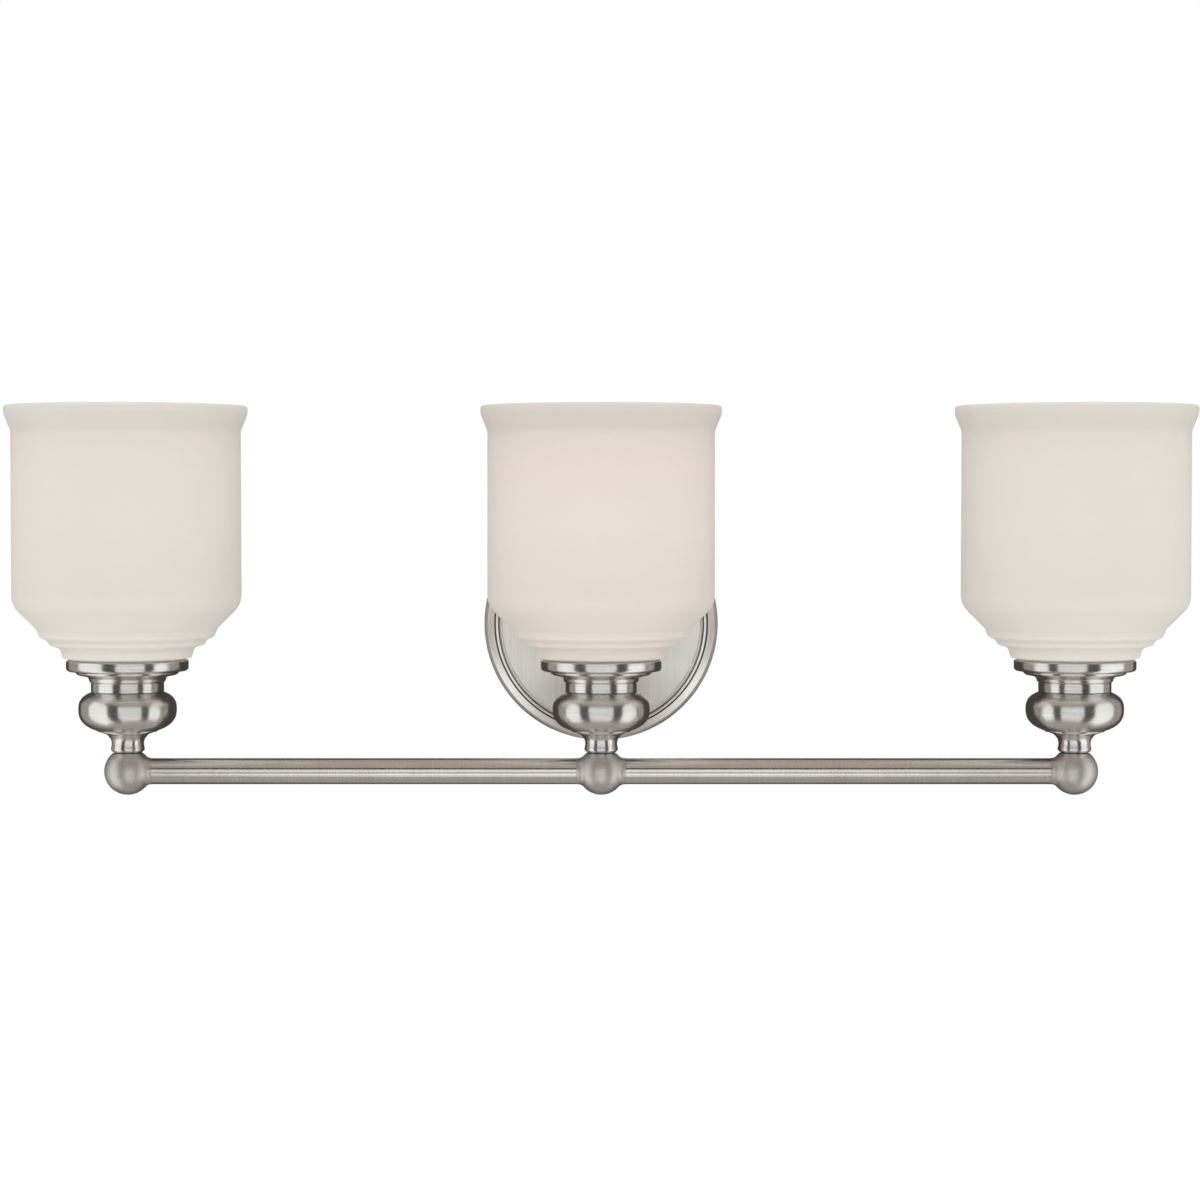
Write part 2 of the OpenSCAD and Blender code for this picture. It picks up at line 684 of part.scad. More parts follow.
// A pear-shaped envelope, open at the neck inside the cap
module bulb_glass(side) {
    low = -35;
    tangent = [bulb_r * cos(low), bulb_centre + bulb_r * sin(low)];
    neck_h = tangent[1] - (tangent[0] - neck_r) / tan(-low);
    foot_h = cap_base + 8;
    outer = [[neck_r, foot_h], [neck_r, neck_h, 22], [tangent[0], tangent[1]]];
    inner = [[tangent[0] - bulb_glass_t * cos(low), tangent[1] - bulb_glass_t * sin(low)],
             [neck_r - bulb_glass_t, neck_h + 0.4, 22], [neck_r - bulb_glass_t, foot_h]];
    color("#F7F3EA") at_lamp(side) rotate_extrude() polygon(concat(
        [xy(outer[0])], fillet(outer[0], outer[1], outer[2]),
        arc([0, bulb_centre], bulb_r, low, 90),
        arc([0, bulb_centre], bulb_r - bulb_glass_t, 90, low),
        fillet(inner[0], inner[1], inner[2]), [xy(inner[2])]));
}

module bulb_cap(side) {
    wall = 0.5;
    throat = 9.9;
    color(STEEL) at_lamp(side)
        lathe([[throat, cap_base], [throat + 0.4, cap_base], [cap_r, cap_base + 3, 0.5], [cap_r, cap_top],
               [cap_r - wall, cap_top], [cap_r - wall, cap_base + 3.2, 0.4], [throat, cap_base + 0.5]]);
}

// The black glass insulator with the contact under it
module bulb_base(side) {
    plug_r = 9.8;
    color("#2A2A2C") at_lamp(side)
        lathe([[0, bulb_tip], [4, bulb_tip, 0.4], [4, bulb_tip + 0.9, 0.2], [5.2, bulb_tip + 1.1, 0.3],
               [plug_r, cap_base - 0.4, 0.4], [plug_r, cap_base + 1.4, 0.2], [0, cap_base + 1.4]]);
}

// ---------------------------------------------------------------- leads

// A lead of the upper (black, row 1) or lower (white, row -1) row. It leaves its connector, enters
// the arm, follows it down to the centre ball, and turns there to its own lamp and up its nipple.
module lead(side, row) {
    n = row * lead_rows / 2;
    x = side * lead_pitch;
    lamp_x = side * (lamp_spacing - n);
    up_bend = ball_cavity_top - n;
    to_lamp = side == 0 ? [[0, n - bar_out, n - bar_drop, up_bend]]
                        : [[x, -bar_out, n - bar_drop, lead_side_bend], [lamp_x, -bar_out, n - bar_drop, up_bend]];
    route(concat(
        [[x, -splice_out, row * splice_end, 0], [x, -splice_out, n, lead_bend],
         [x, -arm_mid - n, n, arm_bend + n], [x, -arm_mid - n, n - bar_drop, arm_bend - n]],
        to_lamp,
        [[lamp_x, (side == 0 ? n : 0) - bar_out, lead_top - bar_drop, 0]]), lead_r);
}

module black_lead(side) {
    color("#222222") lead(side, 1);
}

module white_lead(side) {
    color("#F4F4F0") lead(side, -1);
}

// ---------------------------------------------------------------- nodes

backplate();
mounting_strap();
mounting_studs();
cap_nuts();
ground_screw();
ground_wire();
ground_terminal();
arm_tube();
arm_collar();
arm_lock_nut();
wire_connectors();
bar_tube(-1);  // bar_tube_left
bar_tube(1);  // bar_tube_right
lamp_nipples();
nipple_nuts();
for (name = SIDES) {
    side = side_of(name);
    bar_ball(side);
    lamp_foot(side);
    lamp_vase(side);
    lamp_collar(side);
    shade_cup(side);
    glass_shade(side);
    shade_ring(side);
    socket_body(side);
    screw_shell(side);
    centre_contact(side);
    bulb_glass(side);
    bulb_cap(side);
    bulb_base(side);
    black_lead(side);
    white_lead(side);
}
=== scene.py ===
import math

import bmesh
import bpy
from mathutils import Euler, Matrix, Vector


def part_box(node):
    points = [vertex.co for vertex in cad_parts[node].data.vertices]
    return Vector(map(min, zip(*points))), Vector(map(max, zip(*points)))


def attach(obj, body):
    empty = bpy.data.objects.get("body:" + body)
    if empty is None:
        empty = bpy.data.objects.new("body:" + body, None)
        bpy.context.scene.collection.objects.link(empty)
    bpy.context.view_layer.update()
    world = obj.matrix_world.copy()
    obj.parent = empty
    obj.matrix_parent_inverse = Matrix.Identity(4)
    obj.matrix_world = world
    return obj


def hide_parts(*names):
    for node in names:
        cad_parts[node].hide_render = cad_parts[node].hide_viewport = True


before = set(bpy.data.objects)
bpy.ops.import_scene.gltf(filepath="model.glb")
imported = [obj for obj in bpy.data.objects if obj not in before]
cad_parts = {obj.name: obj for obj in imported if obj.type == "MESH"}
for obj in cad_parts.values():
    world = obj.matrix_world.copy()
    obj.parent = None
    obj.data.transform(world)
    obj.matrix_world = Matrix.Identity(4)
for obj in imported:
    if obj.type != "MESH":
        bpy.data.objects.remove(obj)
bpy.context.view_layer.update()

# ---------------------------------------------------------------- backplate
# A canopy spun from steel sheet that covers the outlet box, plated in nickel. Its stepped border was
# buffed, and its flat front was brushed straight up and down on a belt. Two studs on the strap
# behind it pass through it, and cap nuts hold it to the wall.

MM = 0.001
# Facets round a turned piece
TURNS = 160


def linear(code):
    """An sRGB hex colour as linear RGBA"""
    parts = [int(code[i : i + 2], 16) / 255 for i in (1, 3, 5)]
    return [p / 12.92 if p <= 0.04045 else ((p + 0.055) / 1.055) ** 2.4 for p in parts] + [1.0]


def add(tree, kind, settings, links=()):
    """Adds a node. settings are its properties, its sockets' plain values or a ramp's stops, and links
    the outputs that feed its sockets."""
    node = tree.nodes.new("ShaderNode" + kind)
    for key, value in settings.items():
        if key == "stops":
            stops = node.color_ramp.elements
            while len(stops) < len(value):
                stops.new(0.5)
            for stop, (spot, colour) in zip(stops, value):
                stop.position = spot
                stop.color = colour
        elif isinstance(key, int) or key in node.inputs:
            node.inputs[key].default_value = value
        else:
            setattr(node, key, value)
    for socket, source in dict(links).items():
        tree.links.new(source, node.inputs[socket])
    return node


def new_finish(name, **shader):
    """A material with its Principled shader's plain values set, as (material, tree, shader)"""
    material = bpy.data.materials.new(name)
    material.use_nodes = True
    principled = material.node_tree.nodes["Principled BSDF"]
    for socket, value in shader.items():
        principled.inputs[socket.replace("_", " ")].default_value = value
    return material, material.node_tree, principled


def feed(shader, **sources):
    """Links outputs to the sockets of a material's shader"""
    for socket, source in sources.items():
        shader.id_data.links.new(source, shader.inputs[socket.replace("_", " ")])


def corner_arc(before, corner, after, step=math.radians(9)):
    """The points that round a corner (radius, height, fillet) between its neighbours"""
    q = Vector(corner[:2])
    u, v = Vector(before[:2]) - q, Vector(after[:2]) - q
    fillet = corner[2] if len(corner) > 2 else 0
    half = u.angle(v) / 2
    if fillet <= 0 or half > math.radians(89) or half < math.radians(1):
        return [q]
    cut = min(fillet / math.tan(half), 0.49 * min(u.length, v.length))
    fillet = cut * math.tan(half)
    middle = q + (u.normalized() + v.normalized()).normalized() * fillet / math.sin(half)
    first, last = q + u.normalized() * cut - middle, q + v.normalized() * cut - middle
    sweep = first.angle_signed(last)
    count = max(3, math.ceil(abs(sweep) / step))
    return [middle + Matrix.Rotation(-sweep * i / count, 2) @ first for i in range(count + 1)]


def rounded(corners):
    """A closed outline with each corner rounded by its own fillet"""
    return [p for i, c in enumerate(corners)
            for p in corner_arc(corners[i - 1], c, corners[(i + 1) % len(corners)])]


def inset(path, wall):
    """An open path moved by wall to its left, with each fillet changed so that the wall stays even"""
    points = [Vector(p[:2]) for p in path]
    ways = [(b - a).normalized() for a, b in zip(points, points[1:])]
    lefts = [Vector((-w.y, w.x)) for w in ways]
    moved = [(*(points[0] + lefts[0] * wall), 0)]
    for i in range(1, len(path) - 1):
        mitre = (lefts[i - 1] + lefts[i]).normalized()
        spot = points[i] + mitre * wall / mitre.dot(lefts[i - 1])
        bend = ways[i - 1].cross(ways[i])
        fillet = path[i][2] if len(path[i]) > 2 else 0
        moved.append((*spot, max(0.3, fillet - math.copysign(wall, bend))))
    moved.append((*(points[-1] + lefts[-1] * wall), 0))
    return moved


def sheet_outline(path, wall, lip=0.0):
    """An open path thickened to its left into a closed outline, with its far end's lip rounded"""
    outer, inner = [tuple(p) for p in path], inset(path, wall)
    outer[-1], inner[-1] = (*outer[-1][:2], lip), (*inner[-1][:2], lip)
    return rounded(outer + inner[::-1])


def turned(name, outline):
    """The mesh of a closed outline in mm, turned about local Z"""
    shape = bmesh.new()
    around = [(math.cos(math.tau * i / TURNS), math.sin(math.tau * i / TURNS)) for i in range(TURNS)]
    rings = [[shape.verts.new((MM * r * c, MM * r * s, MM * h)) for c, s in around] for r, h in outline]
    for (ring, here), (following, there) in zip(
        zip(rings, outline), zip(rings[1:] + rings[:1], [*outline[1:], outline[0]])
    ):
        if here[0] > 1e-6 or there[0] > 1e-6:
            for i in range(TURNS):
                shape.faces.new((ring[i - 1], ring[i], following[i], following[i - 1]))
    bmesh.ops.remove_doubles(shape, verts=shape.verts, dist=1e-7)
    loose = [v for v in shape.verts if not v.link_faces]
    bmesh.ops.delete(shape, geom=loose, context="VERTS")
    bmesh.ops.recalc_face_normals(shape, faces=shape.faces)
    mesh = bpy.data.meshes.new(name)
    shape.to_mesh(mesh)
    shape.free()
    mesh.shade_smooth()
    mesh.set_sharp_from_angle(angle=math.radians(28))
    return mesh


def put(name, mesh, spot, *finishes, turn=(0, 0, 0)):
    """An object at a spot in metres, turned by angles in degrees"""
    if not mesh.materials:
        for finish in finishes:
            mesh.materials.append(finish)
    obj = bpy.data.objects.new(name, mesh)
    bpy.context.scene.collection.objects.link(obj)
    pose = Euler([math.radians(angle) for angle in turn])
    obj.matrix_world = Matrix.Translation(spot) @ pose.to_matrix().to_4x4()
    return obj


def span(node, axis):
    """A node's length along X, Y or Z, in mm"""
    low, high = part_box(node)
    end = "XYZ".index(axis)
    return (high[end] - low[end]) / MM


def coat(finish, *nodes):
    """Gives a finish to nodes of the frame whose shape stays"""
    for node in nodes:
        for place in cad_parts[node].material_slots:
            place.material = finish


def nickel(name, tones, grain_from, patch, polish, groove, axis=None, **values):
    """Nickel plate whose tone, roughness and relief follow the grain that grain_from draws. patch is the
    size of its slow drift in metres, polish its least and greatest roughness, groove the depth of its
    relief in metres, and axis the one that its lines run round."""
    finish, tree, shader = new_finish(name, Metallic=1.0, **values)
    place = add(tree, "TexCoord", {}).outputs["Object"]
    grain = grain_from(tree, place)
    cloud = add(tree, "TexNoise", {"Scale": 1 / patch, "Detail": 2.0}, {"Vector": place})
    drift = add(tree, "Mix", {"Factor": 0.35, "data_type": "FLOAT"}, {2: grain, 3: cloud.outputs["Fac"]})
    level = add(tree, "MapRange", {"From Min": 0.36, "From Max": 0.64}, {"Value": drift.outputs[0]})
    tone = add(tree, "Mix", {"data_type": "RGBA", 6: linear(tones[0]), 7: linear(tones[1])},
               {0: level.outputs[0]})
    rough = add(tree, "MapRange", {"From Min": 0.3, "From Max": 0.7, "To Min": polish[0],
                                   "To Max": polish[1]}, {"Value": grain})
    relief = add(tree, "Bump", {"Strength": 0.6, "Distance": groove}, {"Height": grain})
    feed(shader, Base_Color=tone.outputs[2], Roughness=rough.outputs[0], Normal=relief.outputs[0])
    if axis:
        tangent = add(tree, "Tangent", {"direction_type": "RADIAL", "axis": axis})
        feed(shader, Tangent=tangent.outputs[0])
    return finish


def noise_grain(size, detail):
    """A grain of even spots, their size in metres along X, Y and Z"""
    def draw(tree, place):
        stretch = add(tree, "Mapping", {"Scale": [1 / length for length in size]}, {"Vector": place})
        spots = add(tree, "TexNoise", {"Scale": 1.0, "Detail": detail, "Roughness": 0.6},
                    {"Vector": stretch.outputs[0]})
        return spots.outputs["Fac"]
    return draw


def pad_lines(pitch):
    """The lines, a pitch in metres apart, that an abrasive pad leaves round Z on a turning part. They are
    drawn over height plus radius and height minus radius, so that sides, ends and slopes all get them."""
    def draw(tree, place):
        apart = add(tree, "SeparateXYZ", {}, {0: place})
        flat = add(tree, "CombineXYZ", {}, {"X": apart.outputs["X"], "Y": apart.outputs["Y"]})
        radius = add(tree, "VectorMath", {"operation": "LENGTH"}, {0: flat.outputs[0]})
        long = add(tree, "VectorMath", {"operation": "SCALE", "Scale": 1 / (40 * MM)},
                   {0: flat.outputs[0]})
        streak = add(tree, "SeparateXYZ", {}, {0: long.outputs[0]})
        both = []
        for way in ("ADD", "SUBTRACT"):
            along = add(tree, "Math", {"operation": way},
                        {0: apart.outputs["Z"], 1: radius.outputs["Value"]})
            close = add(tree, "Math", {"operation": "MULTIPLY", 1: 1 / pitch}, {0: along.outputs[0]})
            vector = add(tree, "CombineXYZ", {}, {"X": streak.outputs["X"], "Y": streak.outputs["Y"],
                                                  "Z": close.outputs[0]})
            both.append(add(tree, "TexNoise", {"Scale": 1.0, "Detail": 3.0, "Roughness": 0.6},
                            {"Vector": vector.outputs[0]}))
        return add(tree, "Mix", {"Factor": 0.5, "data_type": "FLOAT"},
                   {2: both[0].outputs["Fac"], 3: both[1].outputs["Fac"]}).outputs[0]
    return draw


# Satin nickel on turned parts. The pad's lines run round the axis, so that lights stretch along the
# profile and stay crisp around it. The real lines are about 0.1 mm apart; they are drawn 1 mm apart.
spun_nickel = nickel("satin nickel, spun", ("#EDEBE8", "#D8D5D1"), pad_lines(MM), 14 * MM, (0.21, 0.3),
                     0.012 * MM, "Z", Anisotropic=0.89, Anisotropic_Rotation=0.25)

# The same plate brushed in straight lines on a belt. It spreads lights sideways and shows a fine
# upright grain, drawn 0.6 mm apart so that it shows.
brushed_nickel = nickel("satin nickel, belt-brushed", ("#E8E4DE", "#D9D5CF"),
                        noise_grain((0.6 * MM, 1.0, 20 * MM), 4.0), 20 * MM, (0.23, 0.28),
                        0.008 * MM, "Y", Anisotropic=0.85)

# The same plate on the stepped border, buffed across the steps. Lights run on round the border and
# stay crisp along the profile, so that each step draws its own thin bright and dark ring. Its grain
# is drawn 0.7 mm wide.
buffed_nickel = nickel("satin nickel, buffed", ("#F4F2EF", "#E4E1DD"),
                       noise_grain((0.7 * MM, 0.7 * MM, 0.7 * MM), 3.0), 9 * MM, (0.24, 0.28),
                       0.004 * MM, "Z", Anisotropic=0.95)

# The foot of each riser: rougher plate, painted darker as shade in the crease, which outlines the steps
crease_shade_nickel = nickel("satin nickel, painted crease shade", ("#6C6761", "#5C5853"),
                       noise_grain((0.5 * MM, 0.5 * MM, 0.5 * MM), 2.0), 5 * MM, (0.35, 0.45), 0.01 * MM)

# The same plate on cast parts, bead-blasted to an even matt grain that softens every reflection. The
# real grain is about 0.1 mm wide, and it is drawn 0.7 mm wide.
cast_nickel = nickel("satin nickel, cast", ("#E0DDD9", "#CBC8C3"),
                     noise_grain((0.7 * MM, 0.7 * MM, 0.7 * MM), 3.0), 9 * MM, (0.4, 0.48), 0.012 * MM)

plate_r = span("backplate", "X") / 2
plate_depth = span("backplate", "Y")
plate_sheet = 1.2
plate_hole_r = 6.77
border_w = 8.9
border_h = 12
face_r = plate_r - border_w
rim_h = plate_depth - border_h

# The border's profile, from the wall up its side, in over two steps and across the flat front. Three
# of the points lie on straight stretches, where the painted crease shade at a riser's foot starts or ends.
plate_path = [(plate_r, 0), (plate_r, rim_h, 1.8), (plate_r - 1.9, rim_h + 2.2, 0.8),
              (face_r + 3.5, rim_h + 4.17), (face_r + 3.1, rim_h + 4.4, 0.4),
              (face_r + 2.5, rim_h + 5.8, 0.4), (face_r + 1.3, rim_h + 6.365),
              (face_r + 0.8, rim_h + 6.6, 0.4), (face_r + 0.533, rim_h + 8.4),
              (face_r, plate_depth, 1.6), (plate_hole_r, plate_depth)]
plate_mesh = turned("backplate", sheet_outline(plate_path, plate_sheet))
plate = put("canopy_plate", plate_mesh, Vector((0, 0, 0)), buffed_nickel, brushed_nickel, crease_shade_nickel,
            turn=(90, 0, 0))

# Each crease of painted shade lies between two distances outside the flat front and two heights over the
# rim
shaded_creases = (((0.5, 1.3), (0, 8.4)), ((2.5, 3.5), (4, 5.7)))
for face in plate_mesh.polygons:
    out, up = face.center.xy.length / MM - face_r, face.center.z / MM - rim_h
    if face.normal.z > 0.99 and up > border_h - 0.1:
        face.material_index = 1
    elif face.normal.z > 0.05 and any(a < out < b and c < up < d for (a, b), (c, d) in shaded_creases):
        face.material_index = 2
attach(plate, "fixture")
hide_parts("backplate")

# The cap nuts are tumbled before they are plated, which leaves them as matt as the castings
coat(cast_nickel, "cap_nuts")

# The collar at the arm's root hides the hole that the arm passes through
collar_r = span("arm_collar", "X") / 2
collar_h = span("arm_collar", "Y")
arm_bore = 6.7
collar_mesh = turned("arm_collar", rounded([
    (arm_bore, 0), (collar_r, 0, 0.4), (collar_r, 2, 0.9), (collar_r - 3.4, 3.2, 0.8),
    (arm_bore + 4, collar_h - 2, 2), (arm_bore + 1.6, collar_h, 0.6), (arm_bore, collar_h)]))
plate_front = Vector((0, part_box("backplate")[0].y, 0))
collar = put("arm_root_collar", collar_mesh, plate_front, spun_nickel, turn=(90, 0, 0))
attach(collar, "fixture")
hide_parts("arm_collar")

# ---------------------------------------------------------------- strap and wiring in the canopy
# A pressed steel strap screws to the outlet box with two 8-32 screws through its slots, and carries
# the studs. Three pairs of leads meet the house wires in two twist-on connectors, and a bare copper
# wire joins the lock nut's ring terminal to the green ground screw.

# Zinc plate over rolled steel: a bluish grey with a soft spangle and a fairly sharp shine
zinc, tree, shader = new_finish("zinc-plated steel", Metallic=1.0)
place = add(tree, "TexCoord", {})
spangle = add(tree, "TexVoronoi", {"Scale": 1 / (2.5 * MM)}, {"Vector": place.outputs["Object"]})
mottle = add(tree, "TexNoise", {"Scale": 1 / (6 * MM), "Detail": 4.0},
             {"Vector": place.outputs["Object"]})
mixed = add(tree, "Mix", {"Factor": 0.5, "data_type": "FLOAT"},
            {2: spangle.outputs["Distance"], 3: mottle.outputs["Fac"]})
tone = add(tree, "Mix", {"data_type": "RGBA", 6: linear("#C4C8CA"), 7: linear("#A9AEB0")},
           {0: mixed.outputs[0]})
rough = add(tree, "MapRange", {"From Min": 0.2, "From Max": 0.7, "To Min": 0.28, "To Max": 0.45},
            {"Value": mixed.outputs[0]})
feed(shader, Base_Color=tone.outputs[2], Roughness=rough.outputs[0])
coat(zinc, "mounting_strap", "ground_terminal", "arm_lock_nut", "lamp_nipples", "nipple_nuts")

# An 8-32 rolled thread, drawn at its real pitch of 0.8 mm on the two studs, whose ends are chamfered
stud_r = 2.05
stud_pitch = 0.8
stud_depth = 0.3
stud_point = 0.4
stud_point_h = 0.5
stud_run_out = 0.6
stud_length = span("mounting_studs", "Y")


def threaded(name, radius, depth, pitch, start, end, foot, head, steps=24, turn_rings=6):
    """The mesh of a rod about local Z with a rolled thread from start to end, which fades out over one
    turn at each of them. foot and head are the points (radius, height) that close it below and above,
    and each turn is drawn with turn_rings rings of steps points."""
    shape = bmesh.new()
    count = int((end - start) / pitch * turn_rings)
    rings = []
    for r, h in foot:
        rings.append([(r, h)] * steps)
    for k in range(count + 1):
        ring = []
        for i in range(steps):
            h = start + (end - start) * k / count
            phase = (h / pitch - i / steps) % 1
            fade = min(1, (h - start) / pitch, (end - h) / pitch)
            ring.append((radius - depth * fade * abs(2 * phase - 1), h))
        rings.append(ring)
    for r, h in head:
        rings.append([(r, h)] * steps)
    verts = []
    for ring in rings:
        verts.append([shape.verts.new((MM * r * math.cos(math.tau * i / steps),
                                       MM * r * math.sin(math.tau * i / steps), MM * h))
                      for i, (r, h) in enumerate(ring)])
    for ring, following in zip(verts, verts[1:]):
        for i in range(steps):
            shape.faces.new((ring[i - 1], ring[i], following[i], following[i - 1]))
    bmesh.ops.remove_doubles(shape, verts=shape.verts, dist=1e-7)
    bmesh.ops.recalc_face_normals(shape, faces=shape.faces)
    mesh = bpy.data.meshes.new(name)
    shape.to_mesh(mesh)
    shape.free()
    mesh.shade_smooth()
    mesh.set_sharp_from_angle(angle=math.radians(40))
    return mesh


stud_mesh = threaded("stud", stud_r, stud_depth, stud_pitch, stud_run_out, stud_length - stud_run_out,
                     [(0, 0), (stud_r - stud_point, 0), (stud_r, stud_point_h)],
                     [(stud_r, stud_length - stud_point_h), (stud_r - stud_point, stud_length),
                      (0, stud_length)])
left_end, right_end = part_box("mounting_studs")
both = bmesh.new()
for x in (left_end.x + stud_r * MM, right_end.x - stud_r * MM):
    before = set(both.verts)
    both.from_mesh(stud_mesh)
    bmesh.ops.translate(both, verts=[v for v in both.verts if v not in before], vec=(x, 0, 0))
both.to_mesh(stud_mesh)
both.free()
studs = put("threaded_studs", stud_mesh, Vector((0, 0, 0)), zinc, turn=(90, 0, 0))
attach(studs, "fixture")
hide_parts("mounting_studs")

# Green passivate on the ground screw, worn bright where the driver and the wire rub it
green, tree, shader = new_finish("green passivated steel", Metallic=1.0, Roughness=0.35)
place = add(tree, "TexCoord", {})
wear = add(tree, "TexNoise", {"Scale": 1 / (1.2 * MM), "Detail": 5.0},
           {"Vector": place.outputs["Object"]})
tone = add(tree, "ValToRGB", {"stops": [(0.45, linear("#2E7A43")), (0.68, linear("#5FA06E")),
                                        (0.78, linear("#B9C4BC"))]}, {0: wear.outputs["Fac"]})
feed(shader, Base_Color=tone.outputs[0])
coat(green, "ground_screw")


def mottled(name, tones, patch, polish, **values):
    """A material with a clean and a dull tone, whose tone and roughness drift over patches of a size in
    metres. polish is its least and greatest roughness."""
    material, tree, shader = new_finish(name, **values)
    place = add(tree, "TexCoord", {})
    patches = add(tree, "TexNoise", {"Scale": 1 / patch, "Detail": 4.0},
                  {"Vector": place.outputs["Object"]})
    tone = add(tree, "Mix", {"data_type": "RGBA", 6: linear(tones[0]), 7: linear(tones[1])},
               {0: patches.outputs["Fac"]})
    rough = add(tree, "MapRange", {"From Min": 0.3, "From Max": 0.7, "To Min": polish[0],
                                   "To Max": polish[1]}, {"Value": patches.outputs["Fac"]})
    feed(shader, Base_Color=tone.outputs[2], Roughness=rough.outputs[0])
    return material


# Bare drawn copper, gone slightly brown
copper = mottled("bare drawn copper", ("#E0A078", "#B06C48"), 3 * MM, (0.2, 0.4), Metallic=1.0)
coat(copper, "ground_wire")


def new_plastic(name, colour, shade, roughness, grain_mm):
    """A moulded plastic, with a low shine over a fine grain and faint flow marks in its colour. colour and
    shade are its two tones, roughness its middle one and grain_mm the width of its grain."""
    material, tree, shader = new_finish(name, IOR=1.5)
    place = add(tree, "TexCoord", {})
    flow = add(tree, "TexNoise", {"Scale": 1 / (8 * MM), "Detail": 3.0},
               {"Vector": place.outputs["Object"]})
    grain = add(tree, "TexNoise", {"Scale": 1 / (grain_mm * MM), "Detail": 2.0},
                {"Vector": place.outputs["Object"]})
    tone = add(tree, "Mix", {"data_type": "RGBA", 6: linear(colour), 7: linear(shade)},
               {0: flow.outputs["Fac"]})
    rough = add(tree, "MapRange", {"From Min": 0.3, "From Max": 0.7, "To Min": roughness - 0.06,
                                   "To Max": roughness + 0.06}, {"Value": grain.outputs["Fac"]})
    relief = add(tree, "Bump", {"Strength": 0.5, "Distance": 0.01 * MM},
                 {"Height": grain.outputs["Fac"]})
    feed(shader, Base_Color=tone.outputs[2], Roughness=rough.outputs[0], Normal=relief.outputs[0])
    return material


# Polypropylene on the connectors and soft vinyl on the leads. Their grain is drawn 0.3 to 0.4 mm
# wide, several times coarser than it is, so that it shows as a soft satin.
connector_plastic = new_plastic("moulded polypropylene, amber", "#E0A63C", "#D0942C", 0.42, 0.4)
coat(connector_plastic, "wire_connectors")
black_sleeve = new_plastic("lead insulation, black", "#1E1E20", "#262628", 0.45, 0.3)
white_sleeve = new_plastic("lead insulation, white", "#E9E8E2", "#DDDCD4", 0.45, 0.3)
SIDES = ("left", "centre", "right")
for side in SIDES:
    coat(black_sleeve, "black_lead_" + side)
    coat(white_sleeve, "white_lead_" + side)

# ---------------------------------------------------------------- arm and bar
# Steel tube, bent for the arm and straight for the bar, plated in satin nickel. The tubes slip over
# the hubs of three cast balls, so only a hairline shows at each joint.

# The same plate on long tube, polished round and round on a belt. Its lines are finer than a pad's
# and are drawn 0.5 mm apart.
tube_nickel = nickel("satin nickel, tube", ("#EAE8E5", "#DAD7D3"), pad_lines(0.5 * MM), 14 * MM,
                     (0.21, 0.29), 0.006 * MM, "Z", Anisotropic=0.89, Anisotropic_Rotation=0.25)
coat(cast_nickel, "arm_tube")
for side in SIDES:
    coat(cast_nickel, "bar_ball_" + side)


def centre(node):
    """The middle of a node, in metres"""
    low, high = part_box(node)
    return (low + high) / 2


bar_axis = centre("bar_tube_left")
tube_r = span("bar_tube_left", "Z") / 2
tube_wall = 1.3
tube_bore_r = tube_r - tube_wall
tube_chamfer = 0.15
rings_per_half = 6
for side in ("left", "right"):
    half = span("bar_tube_" + side, "X") / 2
    rings = [-half + tube_chamfer + (half - tube_chamfer) * i / rings_per_half
             for i in range(2 * rings_per_half + 1)]
    outline = [(tube_r - tube_chamfer, -half), *[(tube_r, h) for h in rings],
               (tube_r - tube_chamfer, half), (tube_bore_r, half), (tube_bore_r, -half)]
    bar_mesh = turned("bar_" + side, [Vector(p) for p in outline])
    bar = put("bar_" + side, bar_mesh, centre("bar_tube_" + side), tube_nickel, turn=(0, 90, 0))
    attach(bar, "fixture")
    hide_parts("bar_tube_" + side)

# ---------------------------------------------------------------- lamp holders
# Four turned shells stand on each ball, clamped by a threaded nipple through their middle: a flared
# foot with two fine beads, a vase, a collar with a band, a cove and a bead, and the shallow cup that
# the glass stands in. All are spun or turned brass in satin nickel.

axes = {side: Vector((centre("lamp_vase_" + side).x, bar_axis.y, bar_axis.z)) for side in SIDES}


def height(node, end):
    """A node's lowest (0) or highest (1) point above the bar's axis, in mm"""
    return (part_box(node)[end].z - bar_axis.z) / MM


def outer_radius(node):
    """The radius of a round node that stands upright, in mm"""
    return span(node, "Y") / 2


nipple_hole_r = 5.22
foot_base = height("lamp_foot_centre", 0)
vase_base = height("lamp_foot_centre", 1)
foot_mesh = turned("foot", rounded([
    (nipple_hole_r, foot_base), (6.2, foot_base), (6.2, foot_base + 0.5), (7.6, foot_base + 0.6, 0.3),
    (8.5, foot_base + 1.5, 0.6), (8.6, foot_base + 2.4, 1.5), (8.1, foot_base + 4.6, 5),
    (8.5, vase_base - 4.4, 4), (10.6, vase_base - 2, 3), (12, vase_base - 1.4, 0.4),
    (12.8, vase_base - 1.2, 0.3), (13.1, vase_base - 0.7, 0.3), (15.2, vase_base - 0.5, 0.2),
    (15.2, vase_base, 0.2), (nipple_hole_r, vase_base)]))

vase_top = height("lamp_vase_centre", 1)
vase_r = outer_radius("lamp_vase_centre")
vase_mid = 32.0
vase_wall = 1.8
# How far the rounding reaches above and below the middle, and how full it is there
vase_above = (10.9, 2.7)
vase_below = (12.7, 2.5)


def vase_at(h):
    """The vase's outer radius at a height: a squashed ball, which reaches further down than up"""
    reach, fullness = vase_above if h > vase_mid else vase_below
    return vase_r * (1 - (abs(h - vase_mid) / reach) ** fullness) ** (1 / fullness)


